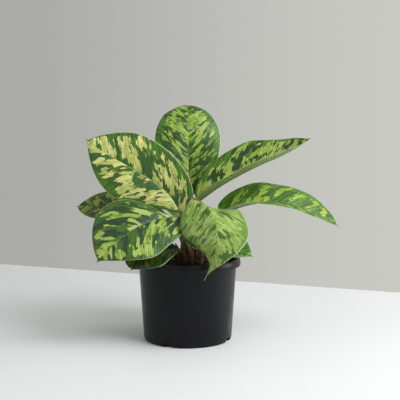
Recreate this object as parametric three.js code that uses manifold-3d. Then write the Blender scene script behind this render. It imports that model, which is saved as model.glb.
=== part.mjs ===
// A homalomena with mottled leaves in a plain nursery pot.
// Millimetres, +Z up. The origin is the centre of the pot's flat base, and -Y is the front.

import * as THREE from 'three';
import { mergeVertices } from 'three/addons/utils/BufferGeometryUtils.js';
import Module from 'manifold-3d';

const wasm = await Module();
wasm.setup();

// ---- Driving dimensions -------------------------------------------------------------------

const GAP = 0.3; // clearance between pieces that touch

const POT_HEIGHT = 108;
const RIM_RADIUS = 70; // a pot sold as 140 mm
const RIM_BAND = 9.5; // height of the turned-over lip
const LIP = 1.4; // wall of the turned-over lip
const WALL_TOP_RADIUS = 65;
const BASE_RADIUS = 58;
const WALL = 1.4;
const FLOOR = 3;
const POT_SIDES = 56;

const NOTCH_COUNT = 4;
const NOTCH_WIDTH = 13;
const NOTCH_TOP = 5.5;
const NOTCH_DEPTH = 9;
const NOTCH_FIRST_ANGLE = 246; // degrees, just left of the front

const SOIL_EDGE_HEIGHT = 97;
const SOIL_CROWN_HEIGHT = 101;

const CROWN = { x: 6, y: 0 }; // the clump stands a little right of the pot's middle
const RHIZOME_RADIUS = 13;
const RHIZOME_FOOT = 72;
const RHIZOME_HEAD_RADIUS = 18;
const RHIZOME_TOP = 106;

const BLADE_THICKNESS = 1;
const BLADE_STATIONS = 13; // cells from base to tip
const BLADE_STRIPS = 6; // cells across
const BLADE_FOOT_WIDTH = 3.2; // where a blade meets its stem
const BLADE_POINT_WIDTH = 1;

const STEM_SIDES = 8;
const STEM_STEPS = 8;
const STEM_FOOT_RADIUS = 3.3;
const STEM_HEAD_RADIUS = 2;

// One entry for each leaf. base is where the blade meets its stem. heading, pitch and roll, in
// degrees, turn the blade along its length from base to tip: heading 0 is +X and 90 is +Y,
// pitch is the climb, and roll lifts the right half. fold lifts each half from flat and curl
// bends it on towards its margin. halves are the greatest half widths, left and right, and
// widest is the share of the length where they are reached. shoulders and point, left and right, shape the
// outline before and after that, and lobe is how far the base reaches back past the stem.
// foot is the stem's place on the rhizome: ring radius and degrees.
const LEAVES = {
  upper_left: {
    base: [-9, 3, 166], length: 163, halves: [46, 47], shoulders: [1, 0.5], widest: 0.57,
    point: [0.9, 0.66], lobe: 0.12, heading: [172, 174, 176], pitch: [66, 33, 28, 38],
    roll: [80, 76, 70], foldLeft: [20, 14, 4], foldRight: [22, 10, 4], curl: [-20],
    foot: [13.5, 168],
  },
  top: {
    base: [1, 42, 184], length: 163, halves: [46, 44], shoulders: [0.8, 0.8], widest: 0.5,
    point: [0.75, 0.85], lobe: 0.08, heading: [90, 94], pitch: [84, 84, 77, 44, -30], roll: [0],
    foldLeft: [20, 7, 0], foldRight: [20, 7, 0], curl: [-10, -15, -40], foot: [5, 90],
  },
  upper_right: {
    base: [14, 9, 183], length: 172, halves: [45, 45], shoulders: [0.6, 0.6], widest: 0.5,
    point: [0.7, 0.8], lobe: 0.12, heading: [4], pitch: [36, 28, 22, 36], roll: [-15],
    foldLeft: [36, 33, 25], foldRight: [36, 33, 25], curl: [-6], foot: [5, 0],
  },
  front_left: {
    base: [-8, -24, 165], length: 131, halves: [50, 53], shoulders: [0.5, 2.4], widest: 0.58,
    point: [0.95, 0.8], lobe: 0.2, heading: [198, 208, 213], pitch: [4, -16, -35, -45],
    roll: [50, 40, 28], foldLeft: [18, 5], foldRight: [18, 5], curl: [-22, -20],
    foot: [13.5, 203],
  },
  right: {
    base: [48, 8, 167], length: 162, halves: [34, 34], shoulders: [0.5, 0.5], widest: 0.46,
    point: [0.7, 0.8], lobe: 0.2, heading: [4, -6], pitch: [24, 10, -8, -25, -36],
    roll: [-14, -22, -28], foldLeft: [36, 24, 14], foldRight: [36, 24, 14], curl: [-8],
    foot: [13.5, 340],
  },
  front_right: {
    base: [7, -27, 190], length: 134, halves: [42, 45], shoulders: [0.7, 0.85], widest: 0.42,
    point: [0.95, 0.95], lobe: 0.22, heading: [326, 281, 170], pitch: [-12, -42, -62, -70],
    roll: [0], foldLeft: [-60, 6, 4, -6], foldRight: [-34, -30, -16, -8], curl: [-20, -15],
    foot: [5, 270],
  },
  lower_right: {
    base: [-1, -20, 138], length: 95, halves: [30, 30], shoulders: [0.65, 0.65], widest: 0.55,
    point: [0.8, 0.8], lobe: 0.14, heading: [336], pitch: [2, -26], roll: [-30, -20],
    foldLeft: [20, 10], foldRight: [20, 10], curl: [-20], foot: [13.5, 270],
  },
  lower_left: {
    base: [-10, -15, 121], length: 82, halves: [37, 24], shoulders: [0.8, 0.8], widest: 0.62,
    point: [0.6, 0.6], lobe: 0.08, heading: [204, 214], pitch: [14, -5, -78], roll: [18, 28, 30],
    foldLeft: [20, 0], foldRight: [20, 8], curl: [-10], foot: [13.5, 236],
  },
  left_back: {
    base: [-24, 16, 150], length: 140, halves: [28, 27], shoulders: [0.7, 0.7], widest: 0.6,
    point: [0.6, 0.6], lobe: 0.1, heading: [166, 160], pitch: [22, -6], roll: [36, 44],
    foldLeft: [25, 8], foldRight: [25, 8], curl: [-10], foot: [13.5, 130],
  },
  back_left: {
    base: [-12, 26, 158], length: 116, halves: [32, 34], shoulders: [0.55, 0.55], widest: 0.5,
    point: [0.9, 0.9], lobe: 0.14, heading: [136, 124], pitch: [45, -10], roll: [0],
    foldLeft: [25, 10], foldRight: [25, 10], curl: [-15], foot: [5, 180],
  },
  back_right: {
    base: [16, 16, 140], length: 112, halves: [33, 33], shoulders: [0.55, 0.55], widest: 0.5,
    point: [0.9, 0.9], lobe: 0.14, heading: [62, 56], pitch: [22, -42], roll: [0],
    foldLeft: [25, 10], foldRight: [25, 10], curl: [-15], foot: [13.5, 45],
  },
  back_low: {
    base: [2, 24, 136], length: 116, halves: [32, 32], shoulders: [0.55, 0.55], widest: 0.5,
    point: [0.9, 0.9], lobe: 0.14, heading: [94, 100], pitch: [20, -42], roll: [0],
    foldLeft: [25, 10], foldRight: [25, 10], curl: [-15], foot: [13.5, 85],
  },
};

// Papery sheaths around the foot of the clump, each at its place round the rhizome in degrees.
const SHEATHS = { front: 304, left: 196, back: 66 };
const SHEATH = {
  length: 27, halves: [8, 8], shoulders: [0.3, 0.3], widest: 0.35, point: [0.7, 0.7], lobe: 0,
  pitch: [86, 78], roll: [0], foldLeft: [14, 22], foldRight: [14, 22], curl: [10],
};
const SHEATH_RING = RHIZOME_HEAD_RADIUS + 1.6;

// The young leaf, still rolled, stands among the stems.
const NEW_LEAF_FOOT = [13.5, 16];
const NEW_LEAF_TIP = [24, 8, 170];
const NEW_LEAF_RADIUS = 4.2;

// ---- Small helpers ------------------------------------------------------------------------

const rad = THREE.MathUtils.degToRad;

// The value at share t of the way along a list of evenly spaced values.
function along(values, t) {
  const place = t * (values.length - 1);
  const i = Math.min(Math.floor(place), Math.max(values.length - 2, 0));
  const next = values[Math.min(i + 1, values.length - 1)];
  return values[i] + (next - values[i]) * (place - i);
}

function closedGeometry(points, faces) {
  const geometry = new THREE.BufferGeometry();
  geometry.setAttribute('position', new THREE.Float32BufferAttribute(points.flat(), 3));
  geometry.setIndex(faces.flat());
  return geometry;
}

function toManifold(geometry) {
  const bare = geometry.index ? geometry.clone() : geometry;
  bare.deleteAttribute('normal');
  bare.deleteAttribute('uv');
  const merged = mergeVertices(bare, 1e-4);
  return new wasm.Manifold(new wasm.Mesh({
    numProp: 3,
    vertProperties: new Float32Array(merged.attributes.position.array),
    triVerts: new Uint32Array(merged.index.array),
  }));
}

function fromManifold(solid) {
  const mesh = solid.getMesh();
  const geometry = new THREE.BufferGeometry();
  geometry.setAttribute('position', new THREE.BufferAttribute(mesh.vertProperties, 3));
  geometry.setIndex(new THREE.BufferAttribute(mesh.triVerts, 1));
  return geometry;
}

// A lathe turned about +Z from a profile of [radius, height] points.
function turned(profile) {
  const points = profile.map(([r, z]) => new THREE.Vector2(r, z));
  return new THREE.LatheGeometry(points, POT_SIDES).rotateX(Math.PI / 2);
}

function named(name, geometry, material) {
  geometry.computeVertexNormals();
  const mesh = new THREE.Mesh(geometry, material);
  mesh.name = name;
  return mesh;
}

// ---- Materials ----------------------------------------------------------------------------

function finish(color, roughness) {
  return new THREE.MeshStandardMaterial({ color, roughness, metalness: 0 });
}

const blackPlastic = finish(0x1c1c20, 0.45);
const pottingMix = finish(0x1a1410, 0.95);
const leafGreen = finish(0x7f9a4c, 0.4);
const stemOlive = finish(0x4a4a22, 0.5);
const rootBrown = finish(0x4a3420, 0.8);
const sheathBrown = finish(0x6a3f2a, 0.7);

// ---- Pot, soil and rhizome ----------------------------------------------------------------

// The outer radius of the tapering wall at a height.
function wallRadius(z) {
  return BASE_RADIUS + (WALL_TOP_RADIUS - BASE_RADIUS) * (z / POT_HEIGHT);
}

function potBody() {
  const lipFoot = POT_HEIGHT - RIM_BAND;
  const lipRoot = POT_HEIGHT - 3 * LIP;
  const inner = (z) => wallRadius(z) - WALL;
  return turned([
    [0, 0], [BASE_RADIUS - 3, 0], [BASE_RADIUS - 0.8, 0.8], [wallRadius(3), 3],
    [wallRadius(lipFoot), lipFoot], [wallRadius(lipRoot), lipRoot],
    [RIM_RADIUS - LIP - 0.4, lipRoot], [RIM_RADIUS - LIP, lipFoot],
    [RIM_RADIUS - 0.3, lipFoot], [RIM_RADIUS, lipFoot + 1], [RIM_RADIUS - 0.2, lipRoot + 1.6],
    [RIM_RADIUS - 1.6, POT_HEIGHT], [inner(POT_HEIGHT) + 2.2, POT_HEIGHT],
    [inner(lipRoot), lipRoot], [inner(FLOOR), FLOOR], [0, FLOOR],
  ]);
}

function pot() {
  let body = toManifold(potBody());
  for (let k = 0; k < NOTCH_COUNT; k += 1) {
    const angle = rad(NOTCH_FIRST_ANGLE + (360 / NOTCH_COUNT) * k);
    const cutter = new THREE.BoxGeometry(2 * NOTCH_DEPTH, NOTCH_WIDTH, 2 * NOTCH_TOP);
    cutter.translate(BASE_RADIUS, 0, 0).rotateZ(angle);
    body = body.subtract(toManifold(cutter));
  }
  return named('pot', fromManifold(body), blackPlastic);
}

function soil() {
  const edge = (z) => wallRadius(z) - WALL - GAP;
  const foot = FLOOR + GAP;
  const middle = (SOIL_EDGE_HEIGHT + SOIL_CROWN_HEIGHT) / 2 + 0.6;
  const heap = toManifold(turned([
    [0, foot], [edge(foot), foot], [edge(SOIL_EDGE_HEIGHT), SOIL_EDGE_HEIGHT],
    [38, middle], [0, SOIL_CROWN_HEIGHT],
  ]));
  const depth = SOIL_CROWN_HEIGHT - RHIZOME_FOOT + GAP;
  const radius = RHIZOME_RADIUS + GAP;
  const socket = new THREE.CylinderGeometry(radius, radius, 2 * depth, 32);
  socket.rotateX(Math.PI / 2).translate(CROWN.x, CROWN.y, SOIL_CROWN_HEIGHT);
  return named('soil', fromManifold(heap.subtract(toManifold(socket))), pottingMix);
}

function rhizome() {
  const neck = SOIL_CROWN_HEIGHT + 2 * GAP;
  const geometry = new THREE.LatheGeometry([
    [0, RHIZOME_FOOT], [RHIZOME_RADIUS * 0.7, RHIZOME_FOOT],
    [RHIZOME_RADIUS, RHIZOME_FOOT + 6], [RHIZOME_RADIUS, neck],
    [RHIZOME_HEAD_RADIUS, neck + 1], [RHIZOME_HEAD_RADIUS, RHIZOME_TOP - 1],
    [RHIZOME_HEAD_RADIUS - 1, RHIZOME_TOP], [0, RHIZOME_TOP],
  ].map(([r, z]) => new THREE.Vector2(r, z)), 28);
  geometry.rotateX(Math.PI / 2).translate(CROWN.x, CROWN.y, 0);
  return named('rhizome', fromManifold(toManifold(geometry)), rootBrown);
}

// ---- Leaf blades --------------------------------------------------------------------------

// Along, to the right of and up from a blade at share t of its length.
function bladeAxes(leaf, t) {
  const h = rad(along(leaf.heading, t));
  const p = rad(along(leaf.pitch, t));
  const r = rad(along(leaf.roll, t));
  const tangent = new THREE.Vector3(
    Math.cos(p) * Math.cos(h), Math.cos(p) * Math.sin(h), Math.sin(p),
  );
  const level = new THREE.Vector3(Math.sin(h), -Math.cos(h), 0);
  const upright = level.clone().cross(tangent);
  const right = level.clone().multiplyScalar(Math.cos(r)).addScaledVector(upright, Math.sin(r));
  const up = upright.multiplyScalar(Math.cos(r)).addScaledVector(level, -Math.sin(r));
  return { tangent, right, up };
}

// The midrib's points, stepped along from the base.
function midrib(leaf, steps) {
  const points = [new THREE.Vector3(...leaf.base)];
  const fine = 5;
  for (let i = 0; i < steps * fine; i += 1) {
    const { tangent } = bladeAxes(leaf, (i + 0.5) / (steps * fine));
    const last = points[points.length - 1];
    points.push(last.clone().addScaledVector(tangent, leaf.length / (steps * fine)));
  }
  return points.filter((_, i) => i % fine === 0);
}

// The outline: the half width at share t of the length, as a share of the greatest.
function fullness(leaf, t, side) {
  if (t < leaf.widest) {
    return Math.sin((Math.PI / 2) * (t / leaf.widest)) ** leaf.shoulders[side];
  }
  const rest = Math.min((t - leaf.widest) / (1 - leaf.widest), 1);
  return Math.max(Math.cos((Math.PI / 2) * rest), 0) ** leaf.point[side];
}

// A point of the blade's middle surface: t runs from base to tip, s from -1 left to 1 right.
function bladePoint(leaf, rib, t, s) {
  const { tangent, right, up } = bladeAxes(leaf, t);
  const side = s > 0 ? 1 : 0;
  const full = fullness(leaf, t, side);
  const least = (BLADE_FOOT_WIDTH + (BLADE_POINT_WIDTH - BLADE_FOOT_WIDTH) * t) / 2;
  const half = Math.max(leaf.halves[side] * full, least);
  const reach = Math.abs(s);
  const fold = rad(along(side ? leaf.foldRight : leaf.foldLeft, t));
  const curl = rad(along(leaf.curl, t));
  const across = (Math.sin(fold + curl * reach) - Math.sin(fold)) / curl;
  const rise = (Math.cos(fold) - Math.cos(fold + curl * reach)) / curl;
  const back = leaf.lobe * leaf.length * reach ** 1.5 * (1 - t) ** 3 * full;
  return rib.clone()
    .addScaledVector(right, Math.sign(s) * half * across)
    .addScaledVector(up, half * rise)
    .addScaledVector(tangent, -back);
}

// A closed plate between an upper and a lower sheet of the same grid.
function plate(grid, thickness) {
  const rows = grid.length;
  const columns = grid[0].length;
  const points = [];
  const clampTo = (value, count) => Math.min(Math.max(value, 0), count - 1);
  for (const side of [0.5, -0.5]) {
    for (let i = 0; i < rows; i += 1) {
      for (let j = 0; j < columns; j += 1) {
        const ahead = grid[clampTo(i + 1, rows)][j].clone().sub(grid[clampTo(i - 1, rows)][j]);
        const over = grid[i][clampTo(j + 1, columns)].clone().sub(grid[i][clampTo(j - 1, columns)]);
        const normal = over.cross(ahead).normalize();
        const point = grid[i][j].clone().addScaledVector(normal, side * thickness);
        points.push(point.toArray());
      }
    }
  }
  const upper = (i, j) => i * columns + j;
  const lower = (i, j) => rows * columns + upper(i, j);
  const faces = [];
  const quad = (a, b, c, d) => faces.push([a, b, c], [a, c, d]);
  for (let i = 0; i + 1 < rows; i += 1) {
    for (let j = 0; j + 1 < columns; j += 1) {
      quad(upper(i, j), upper(i, j + 1), upper(i + 1, j + 1), upper(i + 1, j));
      quad(lower(i, j), lower(i + 1, j), lower(i + 1, j + 1), lower(i, j + 1));
    }
  }
  const last = columns - 1;
  for (let i = 0; i + 1 < rows; i += 1) {
    quad(upper(i, 0), upper(i + 1, 0), lower(i + 1, 0), lower(i, 0));
    quad(upper(i + 1, last), upper(i, last), lower(i, last), lower(i + 1, last));
  }
  const end = rows - 1;
  for (let j = 0; j + 1 < columns; j += 1) {
    quad(upper(0, j + 1), upper(0, j), lower(0, j), lower(0, j + 1));
    quad(upper(end, j), upper(end, j + 1), lower(end, j + 1), lower(end, j));
  }
  return closedGeometry(points, faces);
}

function bladeGeometry(leaf) {
  const ribs = midrib(leaf, BLADE_STATIONS);
  const grid = ribs.map((rib, i) => {
    const row = [];
    for (let j = 0; j <= BLADE_STRIPS; j += 1) {
      row.push(bladePoint(leaf, rib, i / BLADE_STATIONS, (2 * j) / BLADE_STRIPS - 1));
    }
    return row;
  });
  return plate(grid, BLADE_THICKNESS);
}

// ---- Stems --------------------------------------------------------------------------------

// A closed rod along a curve, whose radius depends on the share of the way along.
function rod(curve, radiusAt) {
  const frames = curve.computeFrenetFrames(STEM_STEPS, false);
  const points = [];
  for (let i = 0; i <= STEM_STEPS; i += 1) {
    const centre = curve.getPointAt(i / STEM_STEPS);
    const radius = radiusAt(i / STEM_STEPS);
    for (let k = 0; k < STEM_SIDES; k += 1) {
      const angle = (2 * Math.PI * k) / STEM_SIDES;
      points.push(centre.clone()
        .addScaledVector(frames.normals[i], radius * Math.cos(angle))
        .addScaledVector(frames.binormals[i], radius * Math.sin(angle))
        .toArray());
    }
  }
  const at = (i, k) => i * STEM_SIDES + (k % STEM_SIDES);
  const faces = [];
  for (let i = 0; i < STEM_STEPS; i += 1) {
    for (let k = 0; k < STEM_SIDES; k += 1) {
      faces.push([at(i, k), at(i, k + 1), at(i + 1, k + 1)]);
      faces.push([at(i, k), at(i + 1, k + 1), at(i + 1, k)]);
    }
  }
  for (let k = 1; k + 1 < STEM_SIDES; k += 1) {
    faces.push([at(0, 0), at(0, k + 1), at(0, k)]);
    faces.push([at(STEM_STEPS, 0), at(STEM_STEPS, k), at(STEM_STEPS, k + 1)]);
  }
  return closedGeometry(points, faces);
}

function roundTheCrown(ring, degrees, z) {
  const angle = rad(degrees);
  return new THREE.Vector3(
    CROWN.x + ring * Math.cos(angle), CROWN.y + ring * Math.sin(angle), z,
  );
}

// A stem rises from its foot on the rhizome and runs into the base of its blade.
function stemCurve(leaf) {
  const foot = roundTheCrown(...leaf.foot, RHIZOME_TOP + GAP);
  const { tangent } = bladeAxes(leaf, 0);
  const head = new THREE.Vector3(...leaf.base).addScaledVector(tangent, -2 * GAP);
  const span = foot.distanceTo(head);
  const rise = foot.clone().add(new THREE.Vector3(0, 0, span * 0.4));
  const arrive = head.clone().addScaledVector(tangent, -span * 0.22);
  return new THREE.CubicBezierCurve3(foot, rise, arrive, head);
}

function stemGeometry(leaf) {
  const taper = (t) => STEM_FOOT_RADIUS + (STEM_HEAD_RADIUS - STEM_FOOT_RADIUS) * t;
  return rod(stemCurve(leaf), taper);
}

function sheathGeometry(degrees) {
  const base = roundTheCrown(SHEATH_RING, degrees, SOIL_CROWN_HEIGHT + 1).toArray();
  return bladeGeometry({ ...SHEATH, base, heading: [degrees] });
}

function newLeafGeometry() {
  const foot = roundTheCrown(...NEW_LEAF_FOOT, RHIZOME_TOP + GAP);
  const tip = new THREE.Vector3(...NEW_LEAF_TIP);
  const middle = foot.clone().lerp(tip, 0.5).add(new THREE.Vector3(-2, 0, 4));
  const swell = (t) => 0.6 + (2.2 + (NEW_LEAF_RADIUS - 2.2) * t ** 2) * (1 - t ** 6);
  return rod(new THREE.QuadraticBezierCurve3(foot, middle, tip), swell);
}

// ---- Assembly -----------------------------------------------------------------------------

const plant = new THREE.Group();
plant.name = 'potted_homalomena';
plant.add(pot(), soil(), rhizome());
for (const [place, leaf] of Object.entries(LEAVES)) {
  plant.add(named(`stem_${place}`, stemGeometry(leaf), stemOlive));
  plant.add(named(`leaf_${place}`, bladeGeometry(leaf), leafGreen));
}
for (const [place, degrees] of Object.entries(SHEATHS)) {
  plant.add(named(`sheath_${place}`, sheathGeometry(degrees), sheathBrown));
}
plant.add(named('new_leaf', newLeafGeometry(), leafGreen));

export default plant;
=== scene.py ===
"""A homalomena with mottled leaves in a plain black nursery pot.

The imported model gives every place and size. Each operator builds the finished surface of one
group of pieces around it: the pot, the soil, the crown, the stems, the leaves and the stage.
"""

import math
import random

import bmesh
import bpy
import numpy as np
from bpy.props import (
    CollectionProperty,
    FloatProperty,
    FloatVectorProperty,
    IntProperty,
    PointerProperty,
    StringProperty,
)
from mathutils import Matrix, Vector


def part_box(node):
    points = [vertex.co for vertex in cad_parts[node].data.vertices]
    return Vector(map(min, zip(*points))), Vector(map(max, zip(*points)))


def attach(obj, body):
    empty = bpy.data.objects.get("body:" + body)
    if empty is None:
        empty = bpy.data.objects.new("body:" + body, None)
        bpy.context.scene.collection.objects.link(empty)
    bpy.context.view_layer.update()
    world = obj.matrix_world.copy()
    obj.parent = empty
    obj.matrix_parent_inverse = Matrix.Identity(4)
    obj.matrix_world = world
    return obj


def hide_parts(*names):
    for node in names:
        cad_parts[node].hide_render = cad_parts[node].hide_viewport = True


bl_info = {
    "name": "Potted homalomena",
    "version": (1, 0, 0),
    "blender": (4, 5, 0),
    "location": "3D View > Sidebar > Plant",
    "description": "Builds a mottled homalomena in a nursery pot around its packed model",
    "category": "Object",
}

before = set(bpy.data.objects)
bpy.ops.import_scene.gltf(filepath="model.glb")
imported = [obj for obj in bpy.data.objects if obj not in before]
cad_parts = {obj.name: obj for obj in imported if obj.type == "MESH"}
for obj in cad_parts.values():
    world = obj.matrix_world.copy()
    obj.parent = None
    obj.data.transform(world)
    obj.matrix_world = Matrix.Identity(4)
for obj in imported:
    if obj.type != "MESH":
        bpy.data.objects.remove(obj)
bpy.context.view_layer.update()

MM = 0.001
BODY = "root"

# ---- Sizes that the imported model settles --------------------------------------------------

POT_LOW, POT_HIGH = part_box("pot")
SOIL_LOW, SOIL_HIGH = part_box("soil")
CROWN_LOW, CROWN_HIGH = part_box("rhizome")
CROWN_X = (CROWN_LOW.x + CROWN_HIGH.x) / 2
CROWN_Y = (CROWN_LOW.y + CROWN_HIGH.y) / 2
RIM_RADIUS = POT_HIGH.x
POT_HEIGHT = POT_HIGH.z

# The pot's wall, as shares of its rim radius, and its other sizes.
BASE_RADIUS = RIM_RADIUS * 0.829
WALL_TOP_RADIUS = RIM_RADIUS * 0.929
WALL = 1.4 * MM
RIM_BAND = 9.5 * MM
POT_FLOOR = 3 * MM
NOTCH_WIDTH = 13 * MM
NOTCH_TOP = 5.5 * MM
NOTCH_FIRST_ANGLE = 246

# What the three small leaves at the back share.
BACK_LEAF = dict(
    shoulders=(0.55, 0.55), widest=0.5, point=(0.9, 0.9), lobe=0.14, roll=(0,),
    fold_left=(25, 10), fold_right=(25, 10), curl=(-15,),
)

# Each leaf's shape in millimetres and degrees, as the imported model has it. heading, pitch and
# roll turn the blade from base to tip, fold lifts each half and curl bends it on outwards.
LEAVES = {
    "upper_left": dict(
        base=(-9, 3, 166), length=163, halves=(46, 47), shoulders=(1, 0.5), widest=0.57,
        point=(0.9, 0.66), lobe=0.12, heading=(172, 174, 176), pitch=(66, 33, 28, 38),
        roll=(80, 76, 70), fold_left=(20, 14, 4), fold_right=(22, 10, 4), curl=(-20,),
        foot=(13.5, 168),
    ),
    "top": dict(
        base=(1, 42, 184), length=163, halves=(46, 44), shoulders=(0.8, 0.8), widest=0.5,
        point=(0.75, 0.85), lobe=0.08, heading=(90, 94), pitch=(84, 84, 77, 44, -30),
        roll=(0,), fold_left=(20, 7, 0), fold_right=(20, 7, 0), curl=(-10, -15, -40),
        foot=(5, 90),
    ),
    "upper_right": dict(
        base=(14, 9, 183), length=172, halves=(45, 45), shoulders=(0.6, 0.6), widest=0.5,
        point=(0.7, 0.8), lobe=0.12, heading=(4,), pitch=(36, 28, 22, 36), roll=(-15,),
        fold_left=(36, 33, 25), fold_right=(36, 33, 25), curl=(-6,), foot=(5, 0),
    ),
    "front_left": dict(
        base=(-8, -24, 165), length=131, halves=(50, 53), shoulders=(0.5, 2.4), widest=0.58,
        point=(0.95, 0.8), lobe=0.2, heading=(198, 208, 213), pitch=(4, -16, -35, -45),
        roll=(50, 40, 28), fold_left=(18, 5), fold_right=(18, 5), curl=(-22, -20),
        foot=(13.5, 203),
    ),
    "right": dict(
        base=(48, 8, 167), length=162, halves=(34, 34), shoulders=(0.5, 0.5), widest=0.46,
        point=(0.7, 0.8), lobe=0.2, heading=(4, -6), pitch=(24, 10, -8, -25, -36),
        roll=(-14, -22, -28), fold_left=(36, 24, 14), fold_right=(36, 24, 14), curl=(-8,),
        foot=(13.5, 340),
    ),
    "front_right": dict(
        base=(7, -27, 190), length=134, halves=(42, 45), shoulders=(0.7, 0.85), widest=0.42,
        point=(0.95, 0.95), lobe=0.22, heading=(326, 281, 170), pitch=(-12, -42, -62, -70),
        roll=(0,), fold_left=(-60, 6, 4, -6), fold_right=(-34, -30, -16, -8), curl=(-20, -15),
        foot=(5, 270),
    ),
    "lower_right": dict(
        base=(-1, -20, 138), length=95, halves=(30, 30), shoulders=(0.65, 0.65), widest=0.55,
        point=(0.8, 0.8), lobe=0.14, heading=(336,), pitch=(2, -26), roll=(-30, -20),
        fold_left=(20, 10), fold_right=(20, 10), curl=(-20,), foot=(13.5, 270),
    ),
    "lower_left": dict(
        base=(-10, -15, 121), length=82, halves=(37, 24), shoulders=(0.8, 0.8), widest=0.62,
        point=(0.6, 0.6), lobe=0.08, heading=(204, 214), pitch=(14, -5, -78),
        roll=(18, 28, 30), fold_left=(20, 0), fold_right=(20, 8), curl=(-10,),
        foot=(13.5, 236),
    ),
    "left_back": dict(
        base=(-24, 16, 150), length=140, halves=(28, 27), shoulders=(0.7, 0.7), widest=0.6,
        point=(0.6, 0.6), lobe=0.1, heading=(166, 160), pitch=(22, -6), roll=(36, 44),
        fold_left=(25, 8), fold_right=(25, 8), curl=(-10,), foot=(13.5, 130),
    ),
    "back_left": dict(
        BACK_LEAF, base=(-12, 26, 158), length=116, halves=(32, 34), heading=(136, 124),
        pitch=(45, -10), foot=(5, 180),
    ),
    "back_right": dict(
        BACK_LEAF, base=(16, 16, 140), length=112, halves=(33, 33), heading=(62, 56),
        pitch=(22, -42), foot=(13.5, 45),
    ),
    "back_low": dict(
        BACK_LEAF, base=(2, 24, 136), length=116, halves=(32, 32), heading=(94, 100),
        pitch=(20, -42), foot=(13.5, 85),
    ),
}

# How each leaf is coloured, as 0 to 255 screen values: its dark ground, the brighter green
# patches, the pale blotches and their hearts; then the share that is pale, the size of a
# blotch in millimetres and a seed.
LEAF_LOOKS = {
    "upper_left": ((50, 84, 30), (62, 104, 22), (164, 174, 90), (196, 196, 124), 0.58, 14, 3),
    "top": ((44, 76, 26), (70, 112, 34), (128, 158, 56), (146, 170, 74), 0.48, 13, 11),
    "upper_right": ((40, 68, 26), (72, 114, 34), (138, 164, 64), (156, 176, 88), 0.52, 13, 23),
    "front_left": ((40, 68, 36), (66, 100, 38), (134, 162, 66), (156, 178, 90), 0.42, 17, 31),
    "right": ((62, 98, 30), (84, 124, 40), (132, 166, 54), (150, 176, 76), 0.34, 15, 47),
    # front_right: its own mottling, made paler and given a larger pale share to paint the greyish
    # sheen on its left half
    "front_right": ((66, 98, 38), (104, 138, 62), (130, 156, 72), (150, 172, 92), 0.80, 14, 59),
    "lower_right": ((54, 92, 26), (76, 122, 38), (98, 140, 48), (124, 156, 66), 0.40, 13, 61),
    # lower_left: colours darkened to paint the shadow it lies in under the other leaves
    "lower_left": ((18, 40, 6), (36, 62, 8), (64, 80, 12), (84, 90, 18), 0.36, 16, 73),
    "left_back": ((52, 80, 26), (82, 110, 38), (126, 144, 54), (146, 158, 76), 0.52, 12, 83),
    "back_left": ((44, 74, 28), (72, 110, 36), (134, 160, 62), (160, 176, 92), 0.48, 16, 97),
    "back_right": ((42, 72, 28), (70, 108, 36), (130, 158, 60), (156, 174, 88), 0.45, 15, 101),
    "back_low": ((40, 70, 28), (68, 104, 34), (126, 154, 58), (150, 170, 82), 0.42, 14, 113),
}

RIB_SHOWS = {"upper_left": 0.85, "right": 0.4, "upper_right": 0.4}

CRUMBS = 900
LARGE_CRUMB_EVERY = 17
PALE_CRUMB_EVERY = 23

# The camera, the table's back edge and the direction it runs in, in metres and degrees.
CAMERA_PLACE = (0.0163, -1.15, 0.303)
CAMERA_DOWN = 5.9
CAMERA_LENS = 79.2
TABLE_BACK = 0.42
TABLE_TURN = -20.6
LIGHT_AIM = (0, 0, 0.16)

SHEATHS = {"front": 304, "left": 196, "back": 66}
SHEATH_SHAPE = dict(
    length=27, halves=(8, 8), shoulders=(0.3, 0.3), widest=0.35, point=(0.7, 0.7), lobe=0,
    pitch=(86, 78), roll=(0,), fold_left=(14, 22), fold_right=(14, 22), curl=(10,),
)


def screen(*values):
    """Linear colour from 0 to 255 screen values."""
    return tuple(
        v / 255 / 12.92 if v <= 10 else ((v / 255 + 0.055) / 1.055) ** 2.4 for v in values
    )


def colour_property(name, description, values):
    return FloatVectorProperty(
        name=name, description=description, default=screen(*values), subtype="COLOR",
        size=3, min=0, max=1,
    )


def length_property(name, description, millimetres):
    return FloatProperty(
        name=name, description=description, default=millimetres * MM, subtype="DISTANCE",
        unit="LENGTH", min=0,
    )


def power_property(name, description, watts):
    return FloatProperty(
        name=name, description=description, default=watts, subtype="POWER", unit="POWER", min=0,
    )


# ---- Settings -----------------------------------------------------------------------------


class HOMALOMENA_PG_leaf(bpy.types.PropertyGroup):
    """The colours and mottling of one leaf."""

    place: StringProperty(name="Place", description="Which leaf of the plant", default="")
    dark: colour_property("Dark", "Ground colour of the blade", (60, 100, 56))
    middle: colour_property("Middle", "Middle green patches", (94, 136, 68))
    pale: colour_property("Pale", "Pale blotches", (156, 186, 88))
    cream: colour_property("Cream", "Creamy hearts of the blotches", (180, 200, 116))
    cover: FloatProperty(
        name="Cover", description="Share of the blade that is pale", default=0.45,
        subtype="FACTOR", min=0, max=1,
    )
    blotch: length_property("Blotch", "Rough length of a blotch", 13)
    rib: FloatProperty(
        name="Rib", description="How clearly the midrib shows", default=0.3,
        subtype="FACTOR", min=0, max=1,
    )
    seed: IntProperty(name="Seed", description="Picks another pattern", default=1, min=0)


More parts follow.
